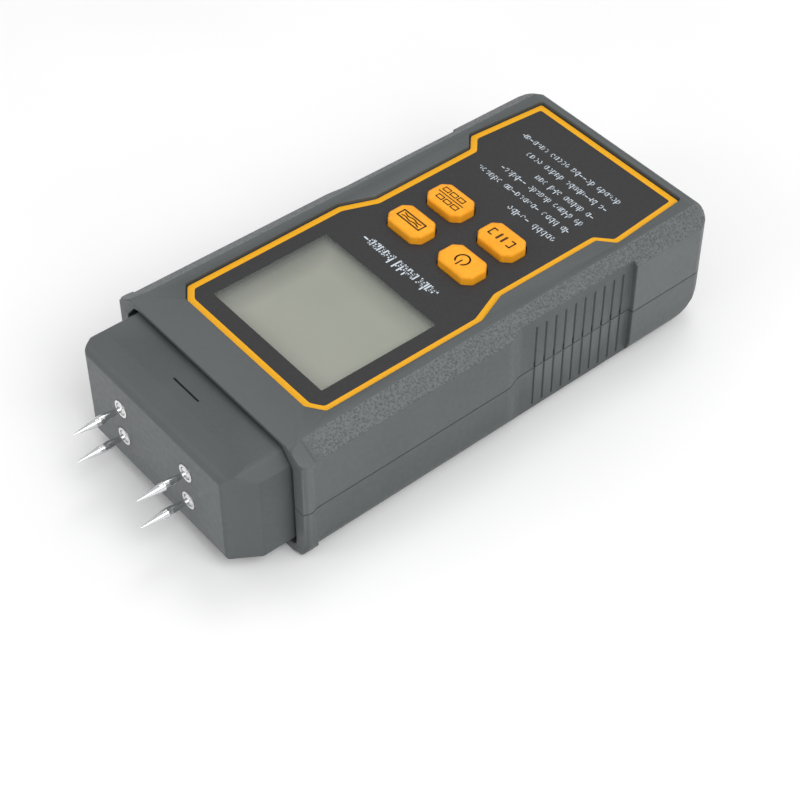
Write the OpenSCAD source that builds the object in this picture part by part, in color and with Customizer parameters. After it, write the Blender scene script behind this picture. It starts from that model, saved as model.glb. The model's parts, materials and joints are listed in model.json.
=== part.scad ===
// Moisture meter with four electrode pins.
// It lies on its back: +Z is the display's normal, +Y runs towards the pins, and Z = 0 is the back face.

/* [Case] */
// Length from the tail to the pin tips
overall_l = 143.4; // [141.4:0.5:149.9]
// Width over the collar's lip
collar_w = 64.4; // [63.9:0.5:66.9]
// Thickness of the case, back face to top face
case_h = 31; // [30.5:0.25:32.5]
// Length of the case, tail to the collar's mouth
case_l = 117.4; // [116:0.1:118.4]
// How much the case narrows on each side from the collar to the tail
taper = 1.3; // [0.8:0.1:1.8]
// Wall thickness at the sides
side_wall = 3.2; // [2.8:0.1:3.6]
// Wall thickness under the top face and above the back face
face_wall = 2.4; // [2.2:0.1:2.6]
// Height of the parting line above the back
seam_z = 14.5; // [13:0.5:16]
// Visible gap of the parting line
seam_gap = 0.3; // [0.1:0.02:0.36]
// Width of the bevel between the top face and the sides
bevel_w = 4.5; // [3.5:0.5:5.5]
// Drop of that bevel
bevel_d = 2.9; // [2:0.1:3.4]
// Radius of the lower long edges
belly_r = 5.7; // [4:0.1:6.5]
// Radius of the tail's lower edge
heel_r = 12; // [8:0.5:13]
// Radius of the tail's corners seen from above
tail_r = 7; // [5:0.5:9]

/* [Grip] */
// Depth of the recessed grip on each side
grip_d = 1.3; // [0.8:0.1:1.5]
// Number of grip grooves on each side
grip_n = 10; // [6:1:10]
// Pitch of the grooves
grip_pitch = 2.85; // [2.4:0.05:2.9]
// Width of one groove
groove_w = 0.55; // [0.3:0.05:0.8]

/* [Panel] */
// Depth of the label panel's face below the top face
panel_drop = 0.8; // [0.4:0.1:0.9]
// Thickness of the label panel
panel_t = 0.5; // [0.4:0.05:0.6]
// Half the panel's width beside the display
panel_head_w = 24.05; // [23.5:0.05:24.3]
// Half the panel's width at its waist
panel_waist_w = 20.8; // [20.4:0.1:21.4]
// Half the width of the clear window
window_w = 18.6; // [17:0.1:18.8]
// Length of the clear window
window_l = 30.2; // [28:0.1:30.6]

/* [Buttons] */
// Length of a button across the meter
button_l = 11.2; // [10.6:0.1:11.4]
// Width of a button along the meter
button_w = 7.3; // [6.8:0.1:7.4]
// Height of a button above the label panel
button_rise = 2.1; // [1.7:0.1:2.3]
// Travel of a button
button_travel = 0.6; // [0.4:0.1:0.6]
// Distance between the two columns of buttons
button_dx = 17; // [16.5:0.1:17.5]
// Distance between the two rows of buttons
button_dy = 11.3; // [11:0.1:11.6]

/* [Sensor head] */
// Half the width of the pin block
head_w = 27.8; // [27.4:0.1:27.9]
// Half the width of its front face
head_front_w = 24; // [23.5:0.1:25.5]
// Length of the block outside the case
head_out = 14.1; // [13:0.1:14.5]
// Distance from the middle to a pin, across
pin_x = 11.6; // [10:0.1:12.5]
// Distance between the upper and the lower pins
pin_dz = 8.2; // [7:0.1:8.5]
// Radius of a pin at its thickest
pin_r = 1.05; // [0.9:0.05:1.2]

/* [Power] */
// Radius of a battery cell
cell_r = 5.2; // [5:0.05:5.25]
// Length of a cell with its nub
cell_l = 44.5; // [43.5:0.1:44.6]

/* [Hidden] */

$fn = 48;
tail_y = -overall_l / 2;
tip_y = overall_l / 2;
mouth_y = tail_y + case_l;
face_y = mouth_y + head_out;
lip_w = collar_w / 2;
side_w = lip_w - 0.4;
corner_turn = 38.6;
corner_r = 7;
corner_slack = 1;
corner_lift = 0.9;
turn = atan(taper / case_l);
panel_z = case_h - panel_drop;
inner_top = case_h - face_wall;
mid_z = 16;

// the panel's outline, measured from the tail
panel_tail_y = tail_y + 4.4;
panel_points = [[22.7, 0], [24.35, 20.7], [panel_waist_w, 23.8], [panel_waist_w, 51.5],
    [panel_head_w, 59.6], [panel_head_w, 100.6], [20.4, 103.2]];
window_y = panel_tail_y + 67.4;
button_y = panel_tail_y + 51.5;
button_top = panel_z + button_rise;
board_top = 20.6;
board_t = 1.6;
grip_y = tail_y + 25.1;
grip_end = grip_y + grip_pitch * (grip_n + 1) + 4;
pin_rows = [mid_z + pin_dz / 2, mid_z - pin_dz / 2];
case_screw_spots = [[-25, tail_y + 12.6], [25, tail_y + 12.6], [-25, 20.5], [25, 20.5]];
board_screw_spots = [[-17.6, -53.5], [17.6, -53.5], [-17.6, -7.7], [17.6, -7.7]];
tub_y = tail_y + 9.7;
tub_l = 50;
tub_w = 17.2;
door_w = 18.6;
door_y = tail_y + 6.2;
door_l = tub_l + 6.5;
cell_z = 8;

shell_grey = [0.30, 0.33, 0.35];
button_orange = [1.0, 0.62, 0.1];

function arc(cx, cy, r, a0, a1, n) = [for (i = [0 : n]) let (a = a0 + (a1 - a0) * i / n)
    [cx + r * cos(a), cy + r * sin(a)]];
function mirrored(p) = concat(p, [for (i = [len(p) - 1 : -1 : 0]) [-p[i][0], p[i][1]]]);

// ---- outer form ----
// one side's cross-section: true on the right, open towards the left; e is the inset of the side
module side_section(w, e, f) {
    polygon(concat([[-60, f], [w - belly_r - 2, f]],
        arc(w - belly_r, belly_r, belly_r - e, -90, 0, 8),
        [[w - e, case_h - bevel_d - e * 0.3],
         [w - bevel_w - e * 0.3, case_h - f], [-60, case_h - f]]));
}

module leaning_side(w, e, f) {
    translate([0, mouth_y, 0]) rotate([0, 0, -turn]) rotate([90, 0, 0])
        translate([0, 0, -10]) linear_extrude(case_l + 20) side_section(w, e, f);
}

module plan_outline() {
    offset(r = tail_r) offset(delta = -tail_r)
        polygon(mirrored([[36, mouth_y + 20], [36, tail_y + 40], [side_w - taper, tail_y + 4],
            [side_w - taper, tail_y], [20.8, tail_y], [18.2, tail_y + 1.1]]));
}

module side_profile(e) {
    rotate([90, 0, 90]) linear_extrude(100, center = true)
        polygon(concat([[mouth_y - (e > 0 ? 7 : 0), e > 0 ? face_wall : 0]],
            [[mouth_y - (e > 0 ? 7 : 0), case_h]],
            arc(tail_y + e + 3.3, case_h - 2.6, 2.6, 90, 180, 6),
            [[tail_y + e + 0.1, seam_z + 5]],
            arc(tail_y + heel_r, heel_r, heel_r - e, 180, 270, 9)));
}

// rounds the upper and lower edges at one of the tail's corners
module corner_profile(s) {
    reach = sin(corner_turn) * (side_w - taper - tail_r) + cos(corner_turn) * (-tail_y - tail_r)
        + tail_r + corner_slack;
    low_r = heel_r + 2;
    rotate([0, 0, s * corner_turn]) rotate([90, 0, 90]) linear_extrude(300, center = true)
        polygon(concat([[case_l, -1], [case_l, case_h + corner_lift]],
            arc(corner_r - reach, case_h + corner_lift - corner_r, corner_r, 90, 180, 9),
            arc(low_r - reach, low_r - 0.05, low_r, 180, 270, 9)));
}

module case_form(e = 0, f = 0) {
    intersection() {
        leaning_side(side_w, e, f);
        mirror([1, 0, 0]) leaning_side(side_w, e, f);
        translate([0, 0, -1]) linear_extrude(case_h + 2) offset(delta = -e) plan_outline();
        side_profile(e);
    }
}

// the lip that stands slightly proud round the mouth
module lip_form() {
    intersection() {
        translate([0, mouth_y, 0]) rotate([90, 0, 0]) linear_extrude(3.4)
            polygon(mirrored(concat([[0, 0]],
                arc(lip_w - belly_r + 0.6, belly_r - 0.6, belly_r - 0.6, -90, 0, 8),
                [[lip_w, case_h - bevel_d + 0.1], [lip_w - bevel_w - 0.2, case_h]])));
        translate([0, 0, -1]) linear_extrude(case_h + 2)
            polygon(mirrored(concat([[side_w - 0.4, mouth_y - 5], [side_w - 0.05, mouth_y - 3.4],
                [lip_w, mouth_y - 2.2]], arc(lip_w - 1.4, mouth_y - 1.4, 1.4, 0, 90, 6))));
        rotate([90, 0, 90]) linear_extrude(100, center = true)
            polygon(concat([[mouth_y - 8, 0]], arc(mouth_y - 1.2, 1.2, 1.2, -90, 0, 5),
                arc(mouth_y - 0.7, case_h - 1, 0.7, 0, 60, 3), [[mouth_y - 2.4, case_h]],
                [[mouth_y - 8, case_h]]));
    }
}

// the recessed grips with a step at the tail end and a ramp at the pin end
module grip_cuts() {
    for (s = [-1, 1]) scale([s, 1, 1]) translate([0, mouth_y, 0]) rotate([0, 0, -turn])
        translate([0, -mouth_y, 0]) {
            translate([0, 0, -1]) linear_extrude(case_h + 2)
                polygon([[side_w + 3, grip_y], [side_w - grip_d, grip_y],
                    [side_w - grip_d, grip_end - 2.6], [side_w - grip_d * 0.8, grip_end - 1.4],
                    [side_w - grip_d * 0.2, grip_end + 0.6], [side_w, grip_end + 2],
                    [side_w + 3, grip_end + 2]]);
            for (i = [1 : grip_n])
                translate([side_w - grip_d - 0.28, grip_y + i * grip_pitch - groove_w / 2, 3.2])
                    cube([2, groove_w, case_h - bevel_d - 1.6 - 3.2]);
        }
}

module outer_form() {
    difference() {
        intersection() {
            union() { case_form(); lip_form(); }
            corner_profile(1);
            corner_profile(-1);
        }
        grip_cuts();
    }
}

// ---- outlines on the top face ----
module panel_outline(grow = 0) {
    offset(r = 0.6 + grow) offset(delta = -0.6)
        translate([0, panel_tail_y]) polygon(mirrored(panel_points));
}

module window_outline(grow = 0) {
    offset(delta = grow) translate([-window_w, window_y]) square([2 * window_w, window_l]);
}

module button_outline(grow = 0) {
    c = 1.75;
    l = button_l / 2;
    w = button_w / 2;
    offset(r = 1 + grow) offset(delta = -1)
        polygon([[l, w - c], [l - c, w], [c - l, w], [-l, w - c],
            [-l, c - w], [c - l, -w], [l - c, -w], [l, c - w]]);
}

// i counts the buttons: 0 power, 1 wood, 2 hold, 3 wall
function button_spot(i) = [(i % 2 == 0 ? -1 : 1) * button_dx / 2, button_y - (i < 2 ? 0 : button_dy)];

module at_buttons() {
    for (i = [0 : 3]) translate(button_spot(i)) children();
}

// ---- pin block section ----
module head_section(w, top, low, grow = 0) {
    offset(delta = grow) offset(r = 1.1) offset(delta = -1.1)
        polygon([[-w, low], [w, low], [w, top - 3.4], [w - 2.7, top],
            [-w + 2.7, top], [-w, top - 3.4]]);
}

module along_y(y0, y1) {
    translate([0, y1, 0]) rotate([90, 0, 0]) linear_extrude(y1 - y0) children();
}

// ---- shells ----
module shell_cavity() {
    intersection() {
        case_form(side_wall, face_wall);
        translate([-40, tail_y - 1, face_wall]) cube([80, case_l, inner_top - face_wall]);
    }
}

module mouth_cut() {
    along_y(mouth_y - 12, mouth_y - 3.2) head_section(head_w, 29.1, 3.4, 0.25);
    along_y(mouth_y - 3.3, mouth_y + 1) head_section(head_w, 29.1, 3.4, 1.05);
    for (s = [-1, 1]) translate([s * 28 - 1.7, mouth_y - 9.3, 7]) cube([3.4, 3.4, 18]);
}

module front_shell() {
    color(shell_grey) difference() {
        union() {
            difference() {
                outer_form();
                shell_cavity();
            }
            for (p = case_screw_spots) translate([p[0], p[1], seam_z]) cylinder(r = 3.1, h = 15);
            for (p = board_screw_spots) translate([p[0], p[1], board_top + 0.05])
                cylinder(r = 2.5, h = 8.5);
        }
        translate([-60, -100, -1]) cube([120, 200, seam_z + seam_gap / 2 + 1]);
        mouth_cut();
        translate([0, 0, panel_z - panel_t]) linear_extrude(5) panel_outline(0.3);
        translate([0, 0, 20]) linear_extrude(12) window_outline(0.6);
        translate([0, 0, 26]) linear_extrude(6) at_buttons() button_outline(0.35);
        // a step for the rear shell's tongue
        translate([0, 0, seam_z - 1]) linear_extrude(2.6) intersection() {
            tongue_ring(1.55);
            translate([-40, tail_y]) square([80, case_l - 10]);
        }
        for (p = case_screw_spots) translate([p[0], p[1], seam_z - 1]) cylinder(r = 1.32, h = 11);
        for (p = board_screw_spots) translate([p[0], p[1], board_top - 1]) cylinder(r = 0.92, h = 6);
    }
}

// the band just inside the wall, t thick, in plan
module tongue_ring(t) {
    difference() {
        tongue_area(-side_wall + t);
        tongue_area(-side_wall);
    }
}

module tongue_area(d) {
    offset(delta = d) intersection() {
        plan_outline();
        translate([0, mouth_y]) rotate(-turn) translate([-60, -case_l - 20])
            square([60 + side_w, case_l + 40]);
        translate([0, mouth_y]) rotate(turn) translate([-side_w, -case_l - 20])
            square([60 + side_w, case_l + 40]);
    }
}

module rear_shell() {
    color(shell_grey) difference() {
        union() {
            difference() {
                union() {
                    intersection() {
                        outer_form();
                        translate([-60, -100, -1]) cube([120, 200, seam_z - seam_gap / 2 + 1]);
                    }
                    translate([0, 0, 10]) linear_extrude(seam_z - 10 + 1.4) intersection() {
                        tongue_ring(1.4);
                        translate([-40, tail_y]) square([80, case_l - 10.2]);
                    }
                }
                shell_cavity();
            }
            for (p = case_screw_spots) translate([p[0], p[1], 1]) cylinder(r = 3.1, h = seam_z - 1.1);
            // the battery tub and the thick rails beside its mouth
            translate([-tub_w - 1.4, tub_y - 1.4, 1])
                cube([2 * tub_w + 2.8, tub_l + 2.8, cell_z + cell_r + 1.9]);
            translate([-door_w - 3.2, tail_y + 7.4, 1]) cube([2 * door_w + 6.4, tub_l + 6.3, 3]);
        }
        translate([-tub_w, tub_y, -1]) cube([2 * tub_w, tub_l, cell_z + cell_r + 1.6]);
        // the door's opening and its two slots run out through the tail
        translate([-door_w - 0.25, tail_y - 1, -1]) cube([2 * door_w + 0.5, door_l + 7.45, 3.35]);
        translate([-door_w - 1.6, tail_y - 1, 1.15]) cube([2 * door_w + 3.2, door_l + 7.45, 1.2]);
        mouth_cut();
        for (p = case_screw_spots) translate([p[0], p[1], -1]) {
            cylinder(r = 2.45, h = 5.1);
            cylinder(r = 1.65, h = 30);
        }
    }
}

module sensor_head() {
    slope_l = face_y - mouth_y;
    color(shell_grey) difference() {
        union() {
            intersection() {
                along_y(mouth_y - 9, face_y) head_section(head_w, 29.1, 3.4);
                // the front corners, the sloping top and the sloping underside
                translate([0, 0, -1]) linear_extrude(case_h + 2)
                    offset(r = 1) offset(delta = -1)
                    polygon(mirrored([[head_w, mouth_y - 20], [head_w, face_y - 6.8],
                        [head_front_w, face_y]]));
                rotate([90, 0, 90]) linear_extrude(100, center = true)
                    polygon(concat([[mouth_y - 20, 3.4], [mouth_y, 3.4], [face_y - 0.7, 4.5]],
                        arc(face_y - 0.7, 5.2, 0.7, -60, 0, 3),
                        arc(face_y - 1.9, 26.5, 1.9, 0, 83, 7),
                        [[face_y - 5.6, 29.1], [mouth_y - 20, 29.1]]));
            }
            for (s = [-1, 1]) translate([s * 28 - 1.4, mouth_y - 9, 8]) cube([2.8, 2.6, 16]);
        }
        along_y(mouth_y - 10, face_y - 10) head_section(head_w - 3, 26.4, 6.2);
        for (s = [-1, 1]) for (z = pin_rows) translate([s * pin_x, face_y - 10.5, z])
            rotate([-90, 0, 0]) cylinder(r = 2.12, h = 12);
        // the snap slot on the top
        translate([-4.4, face_y - 9.3, 27.8]) cube([8.8, 0.42, 3]);
    }
}

module label_panel() {
    color([0.14, 0.14, 0.15]) difference() {
        translate([0, 0, panel_z - panel_t]) linear_extrude(panel_t) panel_outline();
        translate([0, 0, panel_z - 2]) linear_extrude(4) window_outline(0.05);
        translate([0, 0, panel_z - 2]) linear_extrude(4) at_buttons() button_outline(0.3);
    }
}

// ---- display ----
module display_window() {
    color([0.8, 0.85, 0.82, 0.4]) translate([0, 0, panel_z - panel_t])
        linear_extrude(panel_t) window_outline();
}

module lcd_frame() {
    color([0.85, 0.85, 0.82]) difference() {
        translate([-21.3, window_y - 3.2, board_top + 0.05])
            cube([42.6, window_l + 6.4, inner_top - board_top - 0.2]);
        translate([-20.3, window_y - 2.2, board_top - 1]) cube([40.6, window_l + 4.4, 12]);
    }
}

module lcd_glass() {
    color([0.63, 0.64, 0.58]) translate([-20.1, window_y - 2, inner_top - 2.4])
        cube([40.2, window_l + 4, 2.1]);
}

module lcd_reflector() {
    color([0.9, 0.9, 0.86]) translate([-19.4, window_y + 1, inner_top - 4.2])
        cube([38.8, window_l - 2, 1.7]);
}

module zebra_strip(y) {
    color([0.55, 0.35, 0.35]) translate([-18, y, board_top + 0.05])
        cube([36, 2, inner_top - 2.5 - board_top]);
}

module zebra_strip_front() { zebra_strip(window_y + window_l - 0.5); }
module zebra_strip_rear() { zebra_strip(window_y - 1.5); }

// ---- buttons and switches ----
module button(i) {
    color(button_orange) translate(button_spot(i)) {
        hull() {
            translate([0, 0, inner_top - 0.5])
                linear_extrude(button_top - inner_top - 0.1) button_outline(0);
            translate([0, 0, button_top - 0.26]) linear_extrude(0.01) button_outline(-0.17);
            translate([0, 0, button_top - 0.01]) linear_extrude(0.01) button_outline(-0.6);
        }
        translate([0, 0, inner_top - 1.3]) linear_extrude(1.2) button_outline(1.1);
        translate([0, 0, 25.6]) cylinder(r = 2.4, h = inner_top - 1.2 - 25.6);
    }
}

module switch_body(i) {
    color([0.12, 0.12, 0.12]) translate(button_spot(i)) difference() {
        translate([-3, -3, board_top + 0.05]) cube([6, 6, 3.6]);
        translate([0, 0, board_top + 1.2]) cylinder(r = 1.75, h = 4);
    }
}

module plunger(i) {
    color([0.85, 0.83, 0.78]) translate(button_spot(i)) translate([0, 0, board_top + 1.6 + button_travel])
        cylinder(r = 1.7, h = 24 - board_top - button_travel);
}

module power_button() { button(0); }
module wood_button() { button(1); }
module hold_button() { button(2); }
module wall_button() { button(3); }
module power_switch() { switch_body(0); }
module wood_switch() { switch_body(1); }
module hold_switch() { switch_body(2); }
module wall_switch() { switch_body(3); }
module power_plunger() { plunger(0); }
module wood_plunger() { plunger(1); }
module hold_plunger() { plunger(2); }
module wall_plunger() { plunger(3); }

// ---- circuit board ----
module main_board() {
    color([0.1, 0.4, 0.2]) difference() {
        translate([-21.2, tail_y + 13.7, board_top - board_t]) cube([42.4, 92.5, board_t]);
        for (p = board_screw_spots) translate([p[0], p[1], board_top - 3]) cylinder(r = 1.1, h = 5);
        for (s = [-1, 1]) {
            translate([s * pin_x, 27, board_top - 3]) cylinder(r = 0.65, h = 5);
            translate([s * 15, -10, board_top - 3]) cylinder(r = 0.65, h = 5);
        }
    }
}

module controller_chip() {
    color([0.1, 0.1, 0.1]) translate([0, -44, board_top + 0.02]) {
        translate([-5, -5, 0.2]) cube([10, 10, 1.4]);
        for (a = [0 : 90 : 270]) rotate([0, 0, a]) for (i = [-4 : 4])
            translate([i - 0.2, 4.8, 0]) cube([0.4, 1.4, 0.45]);
    }
}

module amplifier_chip() {
    color([0.1, 0.1, 0.1]) translate([12, -44, board_top + 0.02]) {
        translate([-2, -2.5, 0.2]) cube([4, 5, 1.5]);
        for (s = [-1, 1]) for (i = [-1.5 : 1.5]) translate([s * 2.4 - 0.6, i * 1.27 - 0.2, 0])
            cube([1.2, 0.4, 0.4]);
    }
}

module crystal() {
    color([0.8, 0.8, 0.82]) {
        translate([-12, -48, board_top + 1.6]) rotate([-90, 0, 0]) cylinder(r = 1.5, h = 7);
        for (s = [-1, 1]) translate([-12 + s * 0.6, -49.6, board_top + 1.6]) rotate([-90, 0, 0])
            cylinder(r = 0.2, h = 1.8, $fn = 16);
    }
}

module board_capacitors() {
    color([0.2, 0.22, 0.4]) for (x = [-5, 5]) translate([x, -53.8, board_top + 0.05])
        cylinder(r = 2.2, h = 5);
}

// ---- electrodes ----
module electrode_pin(s, z) {
    l = tip_y - face_y;
    color([0.85, 0.86, 0.88]) translate([s * pin_x, face_y, z]) rotate([-90, 0, 0]) rotate_extrude()
        polygon([[0, -13.6], [1.3, -13.6], [1.45, -13.4], [1.45, -0.2], [1.3, 0.05], [0.7, 0.3],
            [0.58, 1.0], [0.78, l * 0.22], [pin_r * 0.94, l * 0.36], [pin_r, l * 0.45],
            [pin_r * 0.93, l * 0.54], [0.42, l * 0.85], [0.08, l - 0.12], [0, l]]);
}

module ferrule(s, z) {
    color([0.9, 0.9, 0.9]) translate([s * pin_x, face_y, z]) rotate([-90, 0, 0]) difference() {
        union() {
            translate([0, 0, -9.9]) cylinder(r = 2.08, h = 9.9);
            translate([0, 0, -0.05]) cylinder(r = 2.08, h = 0.2);
        }
        translate([0, 0, -12]) cylinder(r = 1.5, h = 14);
    }
}

module contact_plate(s) {
    color([0.8, 0.65, 0.3]) difference() {
        translate([s * pin_x - 2.8, face_y - 10.7, mid_z - pin_dz / 2 - 3])
            cube([5.6, 0.6, pin_dz + 6]);
        for (z = pin_rows) translate([s * pin_x, face_y - 12, z]) rotate([-90, 0, 0])
            cylinder(r = 1.55, h = 4);
    }
}

module pin_nuts() {
    color([0.75, 0.7, 0.5]) for (s = [-1, 1]) for (z = pin_rows)
        translate([s * pin_x, face_y - 13, z]) rotate([-90, 0, 0]) difference() {
            cylinder(r = 3.1, h = 2.2, $fn = 6);
            translate([0, 0, -1]) cylinder(r = 1.5, h = 5);
        }
}

// a wire through a list of points
module wire(points, r) {
    for (i = [0 : len(points) - 2]) {
        v = points[i + 1] - points[i];
        translate(points[i]) rotate([0, acos(v[2] / norm(v)), atan2(v[1], v[0])])
            cylinder(r = r, h = norm(v), $fn = 20);
    }
    for (i = [1 : len(points) - 2]) translate(points[i]) sphere(r = r * 1.12, $fn = 20);
}

module lead(s) {
    color(s < 0 ? [0.7, 0.1, 0.1] : [0.1, 0.1, 0.12])
        wire([[s * pin_x, face_y - 10.8, mid_z], [s * (pin_x - 2), face_y - 18, mid_z - 2],
            [s * pin_x, 27, mid_z], [s * pin_x, 27, board_top + 0.4]], 0.55);
}

module lead_left() { lead(-1); }
module lead_right() { lead(1); }
module contact_plate_left() { contact_plate(-1); }
module contact_plate_right() { contact_plate(1); }
module pin_upper_left() { electrode_pin(-1, pin_rows[0]); }
module pin_upper_right() { electrode_pin(1, pin_rows[0]); }
module pin_lower_left() { electrode_pin(-1, pin_rows[1]); }
module pin_lower_right() { electrode_pin(1, pin_rows[1]); }
module ferrule_upper_left() { ferrule(-1, pin_rows[0]); }
module ferrule_upper_right() { ferrule(1, pin_rows[0]); }
module ferrule_lower_left() { ferrule(-1, pin_rows[1]); }
module ferrule_lower_right() { ferrule(1, pin_rows[1]); }

// ---- power ----
module battery_door() {
    color(shell_grey) difference() {
        intersection() {
            union() {
                translate([-door_w, door_y, 0.3]) cube([2 * door_w, door_l, 1.9]);
                translate([-door_w - 1.3, door_y + 1.5, 1.3])
                    cube([2 * door_w + 2.6, door_l - 2, 0.9]);
                // ribs that hold the cells
                for (y = [12, 40]) translate([-tub_w + 1, tub_y + y, 2])
                    cube([2 * tub_w - 2, 1.2, 0.3]);
            }
            translate([0, 0.2, 0.1]) side_profile(0);
        }
        // thumb grooves
        for (i = [0 : 3]) translate([-7, door_y + 5 + i * 2.4, 0]) cube([14, 1, 0.7]);
    }
}

function cell_way(i) = i == 0 ? -1 : 1;

module cell(i) {
    body_l = cell_l - 1;
    translate([i * 11, tub_y + tub_l / 2 + cell_way(i) * 0.3, cell_z]) rotate([cell_way(i) * -90, 0, 0])
        translate([0, 0, -cell_l / 2]) rotate_extrude()
            polygon([[0, 0], [4.4, 0], [4.6, 0.4], [cell_r, 0.5], [cell_r, body_l - 0.3],
                [cell_r - 0.4, body_l], [1.9, body_l], [1.9, cell_l], [0, cell_l]]);
}

module battery_left() { color([0.5, 0.52, 0.55]) cell(-1); }
module battery_middle() { color([0.5, 0.52, 0.55]) cell(0); }
module battery_right() { color([0.5, 0.52, 0.55]) cell(1); }

// a coil of wire along +Z, its points worked out turn by turn
module coil(r0, r1, h, turns, wr) {
    steps = 14 * turns;
    sides = 6;
    ring = [for (i = [0 : steps]) let (t = i / steps, a = 360 * turns * t, r = r0 + (r1 - r0) * t)
        for (k = [0 : sides - 1]) let (b = 360 * k / sides, q = r + wr * cos(b))
            [q * cos(a), q * sin(a), wr + (h - 2 * wr) * t + wr * sin(b)]];
    walls = [for (i = [0 : steps - 1]) for (k = [0 : sides - 1]) let (n = (k + 1) % sides)
        [i * sides + k, (i + 1) * sides + k, (i + 1) * sides + n, i * sides + n]];
    caps = [[for (k = [0 : sides - 1]) k], [for (k = [sides - 1 : -1 : 0]) steps * sides + k]];
    polyhedron(ring, concat(walls, caps), convexity = 6);
}

module battery_springs() {
    color([0.8, 0.8, 0.82]) for (i = [-1 : 1])
        translate([i * 11, tub_y + tub_l / 2, cell_z]) rotate([cell_way(i) * -90, 0, 0])
            translate([0, 0, -tub_l / 2 + 0.45]) coil(3.6, 2.2, 2.3, 3, 0.3);
}

module battery_plates() {
    color([0.82, 0.82, 0.84]) {
        for (i = [-1 : 1]) for (s = [-1, 1])
            translate([i * 11 - 4, tub_y + tub_l / 2 + s * (tub_l / 2 - 0.22) - 0.2, cell_z - 4.2])
                cube([8, 0.4, 8.4]);
        // bumps that meet the nubs
        for (i = [-1 : 1]) translate([i * 11, tub_y + tub_l / 2, cell_z]) rotate([cell_way(i) * -90, 0, 0])
            translate([0, 0, tub_l / 2 - 2.4]) cylinder(r = 1.6, h = 2.1);
    }
}

module power_leads() {
    for (s = [-1, 1]) color(s < 0 ? [0.1, 0.1, 0.12] : [0.7, 0.1, 0.1])
        wire([[s * 13, tub_y + tub_l + 1.5, 12], [s * 13, tub_y + tub_l + 3, 12.6],
            [s * 15, -10, 15], [s * 15, -10, board_top + 0.4]], 0.5);
}

// ---- fasteners ----
module case_screws() {
    color([0.25, 0.25, 0.27]) for (p = case_screw_spots) translate([p[0], p[1], 4.05]) difference() {
        union() {
            translate([0, 0, -1.9]) cylinder(r = 2.3, h = 1.9);
            cylinder(r = 1.25, h = 18);
        }
        for (a = [0, 90]) rotate([0, 0, a]) translate([-1.3, -0.25, -2.5]) cube([2.6, 0.5, 1.5]);
    }
}

module board_screws() {
    color([0.7, 0.7, 0.72]) for (p = board_screw_spots)
        translate([p[0], p[1], board_top - board_t - 0.05]) difference() {
            union() {
                translate([0, 0, -1.3]) cylinder(r = 2, h = 1.3);
                cylinder(r = 0.87, h = 6);
            }
            for (a = [0, 90]) rotate([0, 0, a]) translate([-1.1, -0.2, -2]) cube([2.2, 0.4, 1.3]);
        }
}

front_shell();
rear_shell();
sensor_head();
label_panel();
display_window();
lcd_frame();
lcd_glass();
lcd_reflector();
zebra_strip_front();
zebra_strip_rear();
power_button();
wood_button();
hold_button();
wall_button();
power_switch();
wood_switch();
hold_switch();
wall_switch();
power_plunger();
wood_plunger();
hold_plunger();
wall_plunger();
main_board();
controller_chip();
amplifier_chip();
crystal();
board_capacitors();
pin_upper_left();
pin_upper_right();
pin_lower_left();
pin_lower_right();
ferrule_upper_left();
ferrule_upper_right();
ferrule_lower_left();
ferrule_lower_right();
contact_plate_left();
contact_plate_right();
pin_nuts();
lead_left();
lead_right();
battery_door();
battery_left();
battery_middle();
battery_right();
battery_springs();
battery_plates();
power_leads();
case_screws();
board_screws();
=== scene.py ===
import json
import math
import random
import bpy
import bmesh
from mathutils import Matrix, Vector


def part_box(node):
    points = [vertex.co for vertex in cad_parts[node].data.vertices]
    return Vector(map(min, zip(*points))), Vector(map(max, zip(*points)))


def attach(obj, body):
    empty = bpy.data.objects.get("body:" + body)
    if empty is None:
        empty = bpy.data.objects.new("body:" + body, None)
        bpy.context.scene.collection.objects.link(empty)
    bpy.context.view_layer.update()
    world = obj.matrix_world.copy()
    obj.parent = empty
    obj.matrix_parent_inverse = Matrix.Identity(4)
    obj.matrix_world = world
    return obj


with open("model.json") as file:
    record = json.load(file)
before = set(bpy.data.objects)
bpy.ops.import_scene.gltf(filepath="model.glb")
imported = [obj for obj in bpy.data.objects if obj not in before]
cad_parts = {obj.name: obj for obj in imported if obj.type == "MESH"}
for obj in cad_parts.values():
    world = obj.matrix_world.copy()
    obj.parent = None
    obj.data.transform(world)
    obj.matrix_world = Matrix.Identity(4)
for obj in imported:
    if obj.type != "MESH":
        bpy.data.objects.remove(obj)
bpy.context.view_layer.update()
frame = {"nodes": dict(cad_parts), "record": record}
nodes = frame["nodes"]
mm = 0.001

panelLow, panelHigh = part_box("label_panel")
windowLow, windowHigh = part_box("display_window")
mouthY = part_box("front_shell")[1].y
panelZ = panelHigh.z


# camera and light
camSpec = {
    "place": (-246.4, 197.4, 317.5),   # mm from the object's own origin
    "aim": (-19.7, 10.7, 15.5),
    "lens": 89.72,
    "sensor": 36,
}
lightSpec = {
    # places and sizes are in metres
    "key": {"place": (0.25, -0.45, 1.25), "size": 0.5, "power": 2.4},
    "fill": {"place": (-0.66, 0.06, 0.74), "size": 0.7, "power": 4.4},
    "front": {"place": (0.20, 0.90, 0.42), "size": 0.7, "power": 1.5},
    "aim": (0, 0, 0.015),
    "skyStrength": 0.64,
}


def makeCamera():
    cam = bpy.data.cameras.new("camera")
    cam.lens = camSpec["lens"]
    cam.sensor_width = camSpec["sensor"]
    cam.clip_start = 0.01
    cam.clip_end = 20
    obj = bpy.data.objects.new("camera", cam)
    bpy.context.scene.collection.objects.link(obj)
    obj.location = Vector(camSpec["place"]) * mm
    aim = Vector(camSpec["aim"]) * mm
    obj.rotation_mode = "QUATERNION"
    obj.rotation_quaternion = (aim - obj.location).to_track_quat("-Z", "Y")
    bpy.context.scene.camera = obj


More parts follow.
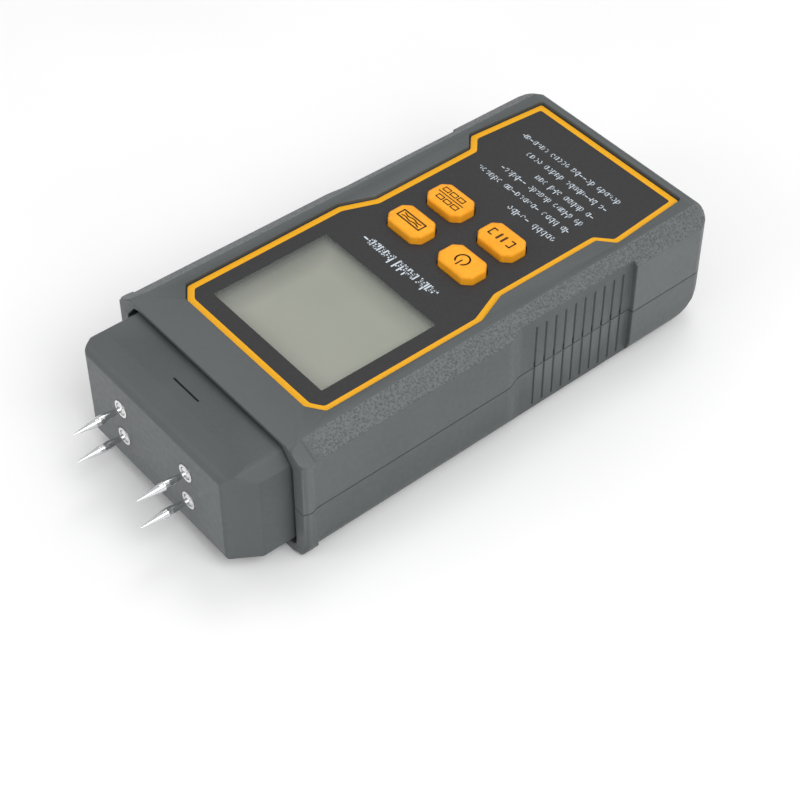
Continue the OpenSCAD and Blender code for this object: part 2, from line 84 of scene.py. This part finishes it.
def makeLight(name):
    spec = lightSpec[name]
    lamp = bpy.data.lights.new(name, "AREA")
    lamp.shape = "DISK"
    lamp.size = spec["size"]
    lamp.energy = spec["power"]
    obj = bpy.data.objects.new(name, lamp)
    bpy.context.scene.collection.objects.link(obj)
    obj.location = spec["place"]
    obj.rotation_mode = "QUATERNION"
    obj.rotation_quaternion = (Vector(lightSpec["aim"]) - obj.location).to_track_quat("-Z", "Y")


def makeWorld():
    world = bpy.data.worlds.new("studio")
    world.use_nodes = True
    sky = world.node_tree.nodes["Background"]
    sky.inputs["Color"].default_value = (1, 1, 1, 1)
    sky.inputs["Strength"].default_value = lightSpec["skyStrength"]
    bpy.context.scene.world = world
    bpy.context.scene.view_settings.view_transform = "Standard"


# material helpers
def startMaterial(name, rough=0.5, metal=0.0):
    mat = bpy.data.materials.new(name)
    mat.use_nodes = True
    tree = mat.node_tree
    shader = tree.nodes["Principled BSDF"]
    shader.inputs["Metallic"].default_value = metal
    shader.inputs["Roughness"].default_value = rough
    return mat, tree, shader


def objectPoint(tree):
    return tree.nodes.new("ShaderNodeTexCoord").outputs["Object"]


def noise(tree, scale, detail=3.0, point=None):
    node = tree.nodes.new("ShaderNodeTexNoise")
    node.inputs["Scale"].default_value = scale
    node.inputs["Detail"].default_value = detail
    tree.links.new(point or objectPoint(tree), node.inputs["Vector"])
    return node.outputs["Fac"]


def spread(tree, value, low, high, fromLow=0.3, fromHigh=0.7):
    # maps a value from one range to another and stops at both ends
    node = tree.nodes.new("ShaderNodeMapRange")
    node.inputs["From Min"].default_value = fromLow
    node.inputs["From Max"].default_value = fromHigh
    node.inputs["To Min"].default_value = low
    node.inputs["To Max"].default_value = high
    tree.links.new(value, node.inputs["Value"])
    return node.outputs["Result"]


def math2(tree, kind, a, b):
    # a and b are numbers or sockets
    node = tree.nodes.new("ShaderNodeMath")
    node.operation = kind
    for i, v in enumerate((a, b)):
        if isinstance(v, (int, float)):
            node.inputs[i].default_value = v
        else:
            tree.links.new(v, node.inputs[i])
    return node.outputs[0]


def blendColour(tree, value, first, second):
    node = tree.nodes.new("ShaderNodeMix")
    node.data_type = "RGBA"
    for socket, colour in ((node.inputs[6], first), (node.inputs[7], second)):
        if isinstance(colour, tuple):
            socket.default_value = (*colour, 1)
        else:
            tree.links.new(colour, socket)
    tree.links.new(value, node.inputs[0])
    return node.outputs[2]


def softNormal(tree, radius):
    # rounds sharp edges in the shading
    node = tree.nodes.new("ShaderNodeBevel")
    node.samples = 8
    node.inputs["Radius"].default_value = radius * mm
    return node.outputs[0]


def addBump(tree, shader, height, strength, distance, after=None):
    node = tree.nodes.new("ShaderNodeBump")
    node.inputs["Strength"].default_value = strength
    node.inputs["Distance"].default_value = distance
    tree.links.new(height, node.inputs["Height"])
    if after is not None:
        tree.links.new(after, node.inputs["Normal"])
    tree.links.new(node.outputs["Normal"], shader.inputs["Normal"])
    return node.outputs["Normal"]


# finishes
shellFinish = {
    "dark": (0.068, 0.0765, 0.0785),
    "light": (0.083, 0.0925, 0.095),
    "edgeHighlight": (0.145, 0.156, 0.160),
    "pitShade": (0.068, 0.076, 0.078),
    "tipHighlight": (0.142, 0.153, 0.157),
    "grainCell": 0.50,    # mm between the grains on the bevels
    "gritSize": 0.45,     # mm
    "grainDepth": 0.065,  # mm
    "fineDepth": 0.012,   # mm
    "grainStart": 2.9,    # mm behind the mouth
    "grainFade": 3.5,     # mm
    "grainSide": (23.5, 24.5),   # mm from the middle, where the grain sets in
    "grainSlope": (0.4, 0.97),   # least and most upward tilt of a grained face, 1 being level
    "edgeRound": 0.45,    # mm
    "specular": 0.36,
    "rough": (0.40, 0.54),
}


def mouldedShell(grained=True):
    mat, tree, shader = startMaterial("mouldedShell" if grained else "mouldedBlock", 0.5)
    f = shellFinish
    shader.inputs["Specular IOR Level"].default_value = f["specular"]
    broad = noise(tree, 60, 3)
    speck = noise(tree, 2600, 2)
    tone = math2(tree, "ADD", math2(tree, "MULTIPLY", broad, 0.55), math2(tree, "MULTIPLY", speck, 0.45))
    colour = blendColour(tree, spread(tree, tone, 0, 1, 0.35, 0.65), f["dark"], f["light"])
    geo = tree.nodes.new("ShaderNodeNewGeometry")
    # painted highlight: convex edges are painted lighter
    edge = spread(tree, geo.outputs["Pointiness"], 0, 0.55, 0.52, 0.60)
    colour = blendColour(tree, edge, colour, f["edgeHighlight"])
    tree.links.new(colour, shader.inputs["Base Color"])
    soft = softNormal(tree, f["edgeRound"])
    fine = addBump(tree, shader, noise(tree, 3400, 2), 0.6, f["fineDepth"] * mm, soft)
    rough = spread(tree, noise(tree, 900, 3), *f["rough"])
    if grained:
        # the grain lies only on the sloping bands beside the top face
        parts = tree.nodes.new("ShaderNodeSeparateXYZ")
        tree.links.new(geo.outputs["True Normal"], parts.inputs[0])
        slope = parts.outputs["Z"]
        band = math2(tree, "MULTIPLY", math2(tree, "GREATER_THAN", slope, f["grainSlope"][0]),
                     math2(tree, "LESS_THAN", slope, f["grainSlope"][1]))
        where = tree.nodes.new("ShaderNodeSeparateXYZ")
        tree.links.new(objectPoint(tree), where.inputs[0])
        fadeEnd = mouthY - f["grainStart"] * mm
        behind = spread(tree, where.outputs["Y"], 1, 0, fadeEnd - f["grainFade"] * mm, fadeEnd)
        fromMiddle = math2(tree, "ABSOLUTE", where.outputs["X"], 0)
        aside = spread(tree, fromMiddle, 0, 1, f["grainSide"][0] * mm, f["grainSide"][1] * mm)
        band = math2(tree, "MULTIPLY", math2(tree, "MULTIPLY", band, behind), aside)
        cells = tree.nodes.new("ShaderNodeTexVoronoi")
        cells.feature = "SMOOTH_F1"
        cells.inputs["Scale"].default_value = 1 / (f["grainCell"] * mm)
        cells.inputs["Smoothness"].default_value = 0.5
        tree.links.new(objectPoint(tree), cells.inputs["Vector"])
        grit = noise(tree, 1 / (f["gritSize"] * mm), 2)
        pattern = math2(tree, "ADD", math2(tree, "MULTIPLY", cells.outputs["Distance"], 0.6), grit)
        addBump(tree, shader, math2(tree, "MULTIPLY", pattern, band), 1.0, f["grainDepth"] * mm, fine)
        # painted shade in the grain's pits and painted highlight on its tips
        pitShadeMask = math2(tree, "MULTIPLY", spread(tree, pattern, 1.0, 0, 0.55, 0.8), band)
        tipHighlightMask = math2(tree, "MULTIPLY", spread(tree, pattern, 0.1, 1.0, 0.62, 1.0), band)
        colour = blendColour(tree, pitShadeMask, colour, f["pitShade"])
        colour = blendColour(tree, tipHighlightMask, colour, f["tipHighlight"])
        tree.links.new(colour, shader.inputs["Base Color"])
        rough = math2(tree, "ADD", rough, math2(tree, "MULTIPLY", band, 0.06))
    tree.links.new(rough, shader.inputs["Roughness"])
    return mat


labelFinish = {
    "dark": (0.034, 0.034, 0.035),
    "light": (0.042, 0.042, 0.044),
    "specular": 0.2,
    "rough": (0.46, 0.52),
}


def printedLabel():
    f = labelFinish
    mat, tree, shader = startMaterial("printedLabel", 0.5)
    tone = spread(tree, noise(tree, 2600, 3), 0, 1)
    tree.links.new(blendColour(tree, tone, f["dark"], f["light"]), shader.inputs["Base Color"])
    shader.inputs["Specular IOR Level"].default_value = f["specular"]
    tree.links.new(spread(tree, noise(tree, 2000, 2), *f["rough"]), shader.inputs["Roughness"])
    addBump(tree, shader, noise(tree, 4200, 2), 0.3, 0.004 * mm)
    return mat


inkFinish = {
    "borderInk": ((0.82, 0.39, 0.012), (0.88, 0.43, 0.02)),
    "paleInk": ((0.55, 0.62, 0.68), (0.68, 0.74, 0.80)),
    "signInk": ((0.075, 0.028, 0.008), (0.10, 0.04, 0.012)),
    "specular": 0.15,
    "rough": (0.40, 0.51),
    "depth": 0.006,       # mm
}


def plainInk(name):
    f = inkFinish
    mat, tree, shader = startMaterial(name, 0.45)
    tone = spread(tree, noise(tree, 2400, 3), 0, 1)
    tree.links.new(blendColour(tree, tone, *f[name]), shader.inputs["Base Color"])
    shader.inputs["Specular IOR Level"].default_value = f["specular"]
    tree.links.new(spread(tree, noise(tree, 700, 2), *f["rough"]), shader.inputs["Roughness"])
    addBump(tree, shader, noise(tree, 5200, 2), 0.4, f["depth"] * mm)
    return mat


keyFinish = {
    "dark": (0.94, 0.370, 0.016),
    "light": (1.0, 0.425, 0.026),
    "specular": 0.22,
    "rough": (0.34, 0.44),
    "edgeRound": 0.8,     # mm
    "glowWeight": 0.12,
    "glowReach": (0.6, 0.25, 0.06),   # mm of red, green and blue
    "fineDepth": 0.008,   # mm
}


def keyPlastic():
    f = keyFinish
    mat, tree, shader = startMaterial("keyPlastic", 0.4)
    tone = spread(tree, noise(tree, 420, 3), 0, 1)
    tree.links.new(blendColour(tree, tone, f["dark"], f["light"]), shader.inputs["Base Color"])
    shader.inputs["Specular IOR Level"].default_value = f["specular"]
    soft = softNormal(tree, f["edgeRound"])
    shader.inputs["Subsurface Weight"].default_value = f["glowWeight"]
    shader.inputs["Subsurface Radius"].default_value = [r * mm for r in f["glowReach"]]
    shader.inputs["Subsurface Scale"].default_value = 1.0
    tree.links.new(spread(tree, noise(tree, 1500, 2), *f["rough"]), shader.inputs["Roughness"])
    addBump(tree, shader, noise(tree, 3000, 2), 0.35, f["fineDepth"] * mm, soft)
    return mat


windowFinish = {
    "alpha": 0.07,
    "ior": 1.49,
    "dark": (0.72, 0.75, 0.70),
    "light": (0.80, 0.83, 0.78),
    "rough": (0.05, 0.10),
}


def clearWindow():
    f = windowFinish
    mat, tree, shader = startMaterial("clearWindow", 0.06)
    shader.inputs["Alpha"].default_value = f["alpha"]
    shader.inputs["IOR"].default_value = f["ior"]
    tone = spread(tree, noise(tree, 90, 2), 0, 1)
    tree.links.new(blendColour(tree, tone, f["dark"], f["light"]), shader.inputs["Base Color"])
    tree.links.new(spread(tree, noise(tree, 700, 3), *f["rough"]), shader.inputs["Roughness"])
    mat.blend_method = "BLEND"
    return mat


filmFinish = {
    "dark": (0.285, 0.295, 0.240),
    "light": (0.305, 0.310, 0.262),
    "rimShadow": (0.075, 0.08, 0.078),
    "cellLine": (0.25, 0.26, 0.2),
    "cellPitch": 1.0,     # mm
    # each border's painted shadow: its strength, then where its fading starts and ends in mm from the
    # window's edge
    "farSideShadow": (0.78, -6.8, 1.2),
    "tailEndShadow": (0.50, -1.0, 6.0),
    "headEndShadow": (0.22, -4.0, 0.0),
    "specular": 0.12,
    "rough": (0.45, 0.55),
}


def displayFilm():
    f = filmFinish
    mat, tree, shader = startMaterial("displayFilm", 0.5)
    shader.inputs["Specular IOR Level"].default_value = f["specular"]
    where = tree.nodes.new("ShaderNodeSeparateXYZ")
    tree.links.new(objectPoint(tree), where.inputs[0])
    # painted shading: the film is painted darker towards the tail end and lighter towards the head end
    paintedShadeAlongY = spread(tree, where.outputs["Y"], 0.15, 0.85, windowLow.y, windowHigh.y)
    cloud = spread(tree, noise(tree, 45, 2), -0.12, 0.12)
    tone = math2(tree, "ADD", paintedShadeAlongY, cloud)
    colour = blendColour(tree, tone, f["dark"], f["light"])
    # painted shadow: the film is painted darker along its borders, where the window's rim shades it, most of
    # all at the right side and the tail end
    most, start, end = f["farSideShadow"]
    farSideShadow = spread(tree, where.outputs["X"], 0, most, windowHigh.x + start * mm, windowHigh.x + end * mm)
    most, start, end = f["tailEndShadow"]
    tailEndShadow = spread(tree, where.outputs["Y"], most, 0, windowLow.y + start * mm, windowLow.y + end * mm)
    most, start, end = f["headEndShadow"]
    headEndShadow = spread(tree, where.outputs["Y"], 0, most, windowHigh.y + start * mm, windowHigh.y + end * mm)
    rimShadow = math2(tree, "MAXIMUM", math2(tree, "MAXIMUM", farSideShadow, tailEndShadow), headEndShadow)
    colour = blendColour(tree, rimShadow, colour, f["rimShadow"])
    # very faint rows and columns of the display's cells
    cells = tree.nodes.new("ShaderNodeTexBrick")
    cells.offset = 0
    cells.inputs["Scale"].default_value = 1 / (f["cellPitch"] * mm)
    cells.inputs["Mortar Size"].default_value = 0.03
    tree.links.new(objectPoint(tree), cells.inputs["Vector"])
    faint = math2(tree, "MULTIPLY", cells.outputs["Fac"], 0.04)
    colour = blendColour(tree, faint, colour, f["cellLine"])
    tree.links.new(colour, shader.inputs["Base Color"])
    tree.links.new(spread(tree, noise(tree, 1200, 2), *f["rough"]), shader.inputs["Roughness"])
    addBump(tree, shader, noise(tree, 2600, 2), 0.2, 0.002 * mm)
    return mat


waveTurn = 20   # radians that the wave texture turns through in one unit


def turnedSteel(name, colour, rough, ringPitch=0.316):
    # bare metal with fine turning rings, ringPitch mm apart
    mat, tree, shader = startMaterial(name, rough, 1.0)
    tone = spread(tree, noise(tree, 800, 3), 0, 1)
    darker = tuple(c * 0.86 for c in colour)
    tree.links.new(blendColour(tree, tone, darker, colour), shader.inputs["Base Color"])
    rings = tree.nodes.new("ShaderNodeTexWave")
    rings.bands_direction = "Y"
    rings.inputs["Scale"].default_value = 2 * math.pi / (waveTurn * ringPitch * mm)
    rings.inputs["Distortion"].default_value = 0.6
    tree.links.new(objectPoint(tree), rings.inputs["Vector"])
    addBump(tree, shader, rings.outputs["Fac"], 0.25, 0.004 * mm)
    tree.links.new(spread(tree, noise(tree, 1400, 3), rough - 0.04, rough + 0.07), shader.inputs["Roughness"])
    return mat


def innerPlastic(name, dark, light, rough=0.5):
    mat, tree, shader = startMaterial(name, rough)
    tone = spread(tree, noise(tree, 900, 3), 0, 1)
    tree.links.new(blendColour(tree, tone, dark, light), shader.inputs["Base Color"])
    tree.links.new(spread(tree, noise(tree, 500, 2), rough - 0.06, rough + 0.08), shader.inputs["Roughness"])
    addBump(tree, shader, noise(tree, 2200, 3), 0.4, 0.02 * mm)
    return mat


boardFinish = {
    "dark": (0.006, 0.055, 0.020),
    "light": (0.012, 0.11, 0.04),
    "weave": 0.9,         # mm between the glass-cloth threads
}


def boardCoat():
    f = boardFinish
    mat, tree, shader = startMaterial("boardCoat", 0.3)
    weave = tree.nodes.new("ShaderNodeTexChecker")
    weave.inputs["Scale"].default_value = 1 / (f["weave"] * mm)
    tree.links.new(objectPoint(tree), weave.inputs["Vector"])
    tone = math2(tree, "ADD", math2(tree, "MULTIPLY", weave.outputs["Fac"], 0.25),
                 math2(tree, "MULTIPLY", noise(tree, 400, 3), 0.6))
    tree.links.new(blendColour(tree, tone, f["dark"], f["light"]), shader.inputs["Base Color"])
    tree.links.new(spread(tree, noise(tree, 300, 2), 0.24, 0.36), shader.inputs["Roughness"])
    addBump(tree, shader, weave.outputs["Fac"], 0.3, 0.01 * mm)
    return mat


def assignFinishes():
    shell = mouldedShell()
    block = mouldedShell(False)
    finishes = {
        "shell_plastic": shell,
        "label_print": printedLabel(),
        "window_clear": clearWindow(),
        "lcd": displayFilm(),
        "white_plastic": innerPlastic("carrierWhite", (0.62, 0.62, 0.59), (0.74, 0.74, 0.70)),
        "zebra": innerPlastic("stripRubber", (0.25, 0.12, 0.12), (0.34, 0.2, 0.19), 0.7),
        "button_orange": keyPlastic(),
        "black_plastic": innerPlastic("partBlack", (0.012, 0.012, 0.013), (0.03, 0.03, 0.03), 0.45),
        "cream_plastic": innerPlastic("stemCream", (0.55, 0.5, 0.4), (0.65, 0.6, 0.5), 0.4),
        "board": boardCoat(),
        "tin": turnedSteel("canTin", (0.75, 0.76, 0.78), 0.28),
        "steel": turnedSteel("pinSteel", (0.80, 0.81, 0.82), 0.17),
        "nickel": turnedSteel("sleeveNickel", (0.90, 0.90, 0.90), 0.3, 0.592),
        "brass": turnedSteel("contactBrass", (0.72, 0.53, 0.24), 0.32),
        "blue_can": innerPlastic("canSleeve", (0.02, 0.03, 0.12), (0.03, 0.04, 0.16), 0.35),
        "red_wire": innerPlastic("wireRed", (0.4, 0.01, 0.01), (0.5, 0.02, 0.02), 0.45),
        "black_wire": innerPlastic("wireBlack", (0.012, 0.012, 0.012), (0.022, 0.022, 0.022), 0.45),
        "cell_jacket": innerPlastic("cellJacket", (0.16, 0.17, 0.18), (0.2, 0.21, 0.22), 0.3),
        "black_screw": turnedSteel("screwBlack", (0.11, 0.11, 0.12), 0.35),
    }
    for part in frame["record"]["subparts"]:
        node = nodes[part["node"]]
        finish = finishes[part["material_slot"]]
        if part["node"] == "sensor_head":
            finish = block
        node.data.materials.clear()
        node.data.materials.append(finish)


# mesh helpers
def newPiece(name, mesh, body, finish):
    obj = bpy.data.objects.new(name, mesh)
    bpy.context.scene.collection.objects.link(obj)
    obj.data.materials.append(finish)
    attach(obj, body)
    return obj


def corners(points):
    # each point of a closed outline with the ones before and after it
    for i in range(len(points)):
        yield points[i - 1], points[i], points[(i + 1) % len(points)]


def insetLoop(points, d):
    # moves each side of a closed counter-clockwise outline inwards by d
    out = []
    for before, here, after in corners(points):
        a = (here - before).normalized()
        b = (after - here).normalized()
        inA = Vector((-a.y, a.x))
        inB = Vector((-b.y, b.x))
        middle = (inA + inB).normalized()
        out.append(here + middle * (d / max(0.3, middle.dot(inA))))
    return out


def roundLoop(points, r, steps=4):
    # softens each corner of an outline with a short curve
    out = []
    for before, here, after in corners(points):
        cut = min(r, (before - here).length / 3, (after - here).length / 3)
        a = here + (before - here).normalized() * cut
        b = here + (after - here).normalized() * cut
        for k in range(steps + 1):
            t = k / steps
            out.append(a * (1 - t) ** 2 + here * (2 * t * (1 - t)) + b * t ** 2)
    return out


def finishMesh(bm, name):
    mesh = bpy.data.meshes.new(name)
    bm.to_mesh(mesh)
    bm.free()
    return mesh


def bandMesh(name, outer, inner, z, thick):
    # a flat printed band between two loops with as many points each
    bm = bmesh.new()
    rings = []
    for height in (z, z + thick):
        for loop in (outer, inner):
            rings.append([bm.verts.new((p.x, p.y, height)) for p in loop])
    lowOut, lowIn, topOut, topIn = rings
    n = len(outer)
    for i in range(n):
        j = (i + 1) % n
        bm.faces.new((topOut[i], topOut[j], topIn[j], topIn[i]))
        bm.faces.new((lowOut[j], lowOut[i], lowIn[i], lowIn[j]))
        bm.faces.new((lowOut[i], lowOut[j], topOut[j], topOut[i]))
        bm.faces.new((lowIn[j], lowIn[i], topIn[i], topIn[j]))
    bmesh.ops.recalc_face_normals(bm, faces=bm.faces)
    return finishMesh(bm, name)


def stroke(bm, a, b, width, z, thick):
    # one printed stroke with blunt round ends, lying flat
    a, b = Vector(a), Vector(b)
    start = math.atan2(b.y - a.y, b.x - a.x)
    loop = []
    for end, turn in ((b, -90), (a, 90)):
        for k in range(4):
            t = start + math.radians(turn + k * 60)
            loop.append(end + Vector((math.cos(t), math.sin(t))) * width / 2)
    low = [bm.verts.new((p.x, p.y, z)) for p in loop]
    top = [bm.verts.new((p.x, p.y, z + thick)) for p in loop]
    bm.faces.new(top)
    bm.faces.new(low[::-1])
    for i in range(len(loop)):
        j = (i + 1) % len(loop)
        bm.faces.new((low[i], low[j], top[j], top[i]))


def chain(bm, points, width, z, thick):
    # strokes end to end
    for a, b in zip(points, points[1:]):
        stroke(bm, a, b, width, z, thick)


def arcPoints(centre, r, first, last, steps):
    # first and last are angles in degrees
    points = []
    for k in range(steps + 1):
        t = math.radians(first + (last - first) * k / steps)
        points.append(Vector(centre) + Vector((math.cos(t), math.sin(t))) * r)
    return points


# the orange border
borderSpec = {
    "edge": 0.06,         # mm from the panel's own edge
    "width": 1.55,        # mm from the same edge to the border's inner side
    "thick": 0.03,        # mm
    "corner": 0.6,        # mm
    # the panel's half widths in mm, and how far from its tail end each of them is
    "halfWidths": (22.7, 24.35, 20.8, 20.8, 24.05, 24.05, 20.4),
    "fromTail": (0, 20.55, 23.8, 51.5, 59.6, 100.6, 103.2),
}


def makeBorder(finish):
    s = borderSpec
    right = [Vector((w * mm, panelLow.y + y * mm)) for w, y in zip(s["halfWidths"], s["fromTail"])]
    left = [Vector((-p.x, p.y)) for p in reversed(right)]
    outline = right + left
    outer = insetLoop(outline, s["edge"] * mm)
    inner = insetLoop(outline, s["width"] * mm)
    mesh = bandMesh("orange_border", roundLoop(outer, s["corner"] * mm),
                    roundLoop(inner, s["corner"] * mm), panelZ, s["thick"] * mm)
    newPiece("orange_border", mesh, "case", finish)


# pale printing, where short strokes stand for words
printSpec = {
    "sunk": 0.01,         # mm below the face that carries it
    "thick": 0.02,        # mm
}
labelSpec = {
    # places are in mm from the middle of the meter
    "title": {"start": -11.6, "height": 2.6, "stroke": 0.42, "gap": 0.6},
    "small": {"start": -14.7, "height": 1.75, "stroke": 0.25, "gap": 0.8},
    # how far up the label, where the line ends, and how many marks each word has
    "titleLine": (-5.6, 13.0, (8, 6)),
    "lines": ((-36.7, 0.6, (5, 5)), (-41.0, 15.4, (2, 4, 9, 6)), (-44.9, 11.9, (2, 5, 6, 7)),
              (-48.4, 4.2, (2, 5, 3, 3)), (-52.4, 11.6, (2, 8, 5, 4)), (-56.4, 17.4, (6, 6, 5, 7))),
    "seed": 7,
}
markSpec = {
    "tallChance": 0.3,
    "stemChance": 0.62,
    "bowChance": 0.8,
    "bowStarts": (-150, -120, -90),   # degrees
    "bowSweeps": (180, 220, 260),     # degrees
    "bowSteps": 5,
    # shares of the mark's height
    "shortStem": 0.68,
    "bowHeight": 0.34,
    "dashHeight": 0.4,
    "halfHeight": 0.24,
    # shares of the step from one mark to the next
    "halfStep": 0.3,
    "middle": 0.42,
}


def wordStrokes(bm, rng, x, y, step, style, count, z):
    # each mark is a stem, a bowed stroke or both, in no alphabet
    m = markSpec
    height = style["height"] * mm
    width = style["stroke"] * mm
    thick = printSpec["thick"] * mm
    low = y - height / 2
    half = min(step * m["halfStep"], height * m["halfHeight"])
    for k in range(count):
        tall = height if k == 0 or rng.random() < m["tallChance"] else height * m["shortStem"]
        mid = x + step * m["middle"]
        bow = rng.choice((-1, 1))
        if rng.random() < m["stemChance"]:
            stemX = mid - bow * half
            chain(bm, [(stemX, low), (stemX, low + tall)], width, z, thick)
        if rng.random() < m["bowChance"]:
            start = rng.choice(m["bowStarts"])
            sweep = rng.choice(m["bowSweeps"])
            points = []
            for i in range(m["bowSteps"] + 1):
                t = math.radians(start + sweep * i / m["bowSteps"])
                points.append((mid + half * bow * math.cos(t),
                               low + height * m["bowHeight"] * (1 + math.sin(t))))
            chain(bm, points, width, z, thick)
        else:
            dashY = low + height * m["dashHeight"]
            chain(bm, [(mid - half, dashY), (mid + half, dashY)], width, z, thick)
        x += step
    return x


def printLine(name, rng, style, line, finish):
    y, end, words = line
    z = panelZ - printSpec["sunk"] * mm
    bm = bmesh.new()
    total = sum(words) + style["gap"] * (len(words) - 1)
    step = (end - style["start"]) / total * mm
    x = style["start"] * mm
    for count in words:
        x = wordStrokes(bm, rng, x, y * mm, step, style, count, z)
        x += step * style["gap"]
    newPiece(name, finishMesh(bm, name), "case", finish)


def makeLabelPrint(finish):
    s = labelSpec
    rng = random.Random(s["seed"])
    printLine("title_print", rng, s["title"], s["titleLine"], finish)
    for row, line in enumerate(s["lines"]):
        printLine(f"line_print_{row + 1}", rng, s["small"], line, finish)


# dark signs on the buttons
signSpec = {
    # mm, from the middle of each button
    "stroke": 0.42,
    "thin": 0.3,
    "powerR": 1.65,
    "powerGap": (125, 415),   # degrees where the open ring starts and ends
    "plank": (3.6, 1.1),      # half length and half width
    "grainRows": (-0.38, 0.38),
    "grainWave": 0.16,
    "barX": 0.75,
    "barHalf": 0.9,
    "bracket": (2.4, 3.4, 1.0),
    "rule": 4.0,
    "brick": (0.9, 0.55),
    "brickX": (-2.4, 0, 2.4),
    "courses": ((1.35, -0.385), (-1.35, 0.385)),   # height and shift of each row
}


class SignPen:
    # draws one button's sign in mm from the button's middle
    def __init__(self, name):
        low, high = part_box(name + "_button")
        self.middle = Vector(((low.x + high.x) / 2, (low.y + high.y) / 2))
        self.z = high.z - printSpec["sunk"] * mm
        self.bm = bmesh.new()

    def draw(self, points, width):
        placed = [self.middle + Vector(p) * mm for p in points]
        chain(self.bm, placed, width * mm, self.z, printSpec["thick"] * mm)

    def box(self, x, y, halfX, halfY, width):
        self.draw([(x - halfX, y - halfY), (x + halfX, y - halfY), (x + halfX, y + halfY),
                   (x - halfX, y + halfY), (x - halfX, y - halfY)], width)


def powerSign(pen, s):
    first, last = s["powerGap"]
    pen.draw(arcPoints((0, -0.1), s["powerR"], first, last, 22), s["stroke"])
    pen.draw([(0, 0.1), (0, s["powerR"] + 0.25)], s["stroke"])


def plankSign(pen, s):
    pen.box(0, 0, *s["plank"], s["stroke"])
    for y in s["grainRows"]:
        points = [(x / 4, y + s["grainWave"] * math.sin(x * 0.5 + y * 3)) for x in range(-11, 12)]
        pen.draw(points, s["thin"])


def barsSign(pen, s):
    # two bars between end marks
    for x in (-s["barX"], s["barX"]):
        pen.draw([(x, -s["barHalf"]), (x, s["barHalf"])], s["stroke"] * 1.5)
    near, far, half = s["bracket"]
    for side in (-1, 1):
        pen.draw([(side * near, -half), (side * far, -half), (side * far, half), (side * near, half)],
                 s["stroke"])


def bricksSign(pen, s):
    # courses of bricks above and below a rule
    pen.draw([(-s["rule"], 0), (s["rule"], 0)], s["thin"])
    for y, shift in s["courses"]:
        for x in s["brickX"]:
            pen.box(x + shift, y, *s["brick"], s["thin"])


def makeSigns(finish):
    signs = {"power": powerSign, "wood": plankSign, "hold": barsSign, "wall": bricksSign}
    for key, drawSign in signs.items():
        pen = SignPen(key)
        drawSign(pen, signSpec)
        newPiece(key + "_sign", finishMesh(pen.bm, key + "_sign"), key + "_key", finish)


# floor
floorSpec = {
    "half": 3.0,          # m
    "dark": (0.93, 0.93, 0.93),
    "light": (0.96, 0.96, 0.96),
    "rough": 0.85,
    "specular": 0.1,
}


def makeFloor():
    s = floorSpec
    bm = bmesh.new()
    bmesh.ops.create_grid(bm, x_segments=8, y_segments=8, size=s["half"])
    obj = bpy.data.objects.new("floor", finishMesh(bm, "floor"))
    bpy.context.scene.collection.objects.link(obj)
    mat, tree, shader = startMaterial("floorPaper", s["rough"])
    tone = spread(tree, noise(tree, 12, 2), 0, 1)
    tree.links.new(blendColour(tree, tone, s["dark"], s["light"]), shader.inputs["Base Color"])
    shader.inputs["Specular IOR Level"].default_value = s["specular"]
    obj.data.materials.append(mat)


makeCamera()
makeWorld()
for lamp in ("key", "fill", "front"):
    makeLight(lamp)
makeFloor()
print("stage set")

assignFinishes()
print("finishes done")

makeBorder(plainInk("borderInk"))
makeLabelPrint(plainInk("paleInk"))
makeSigns(plainInk("signInk"))
print("printing done")
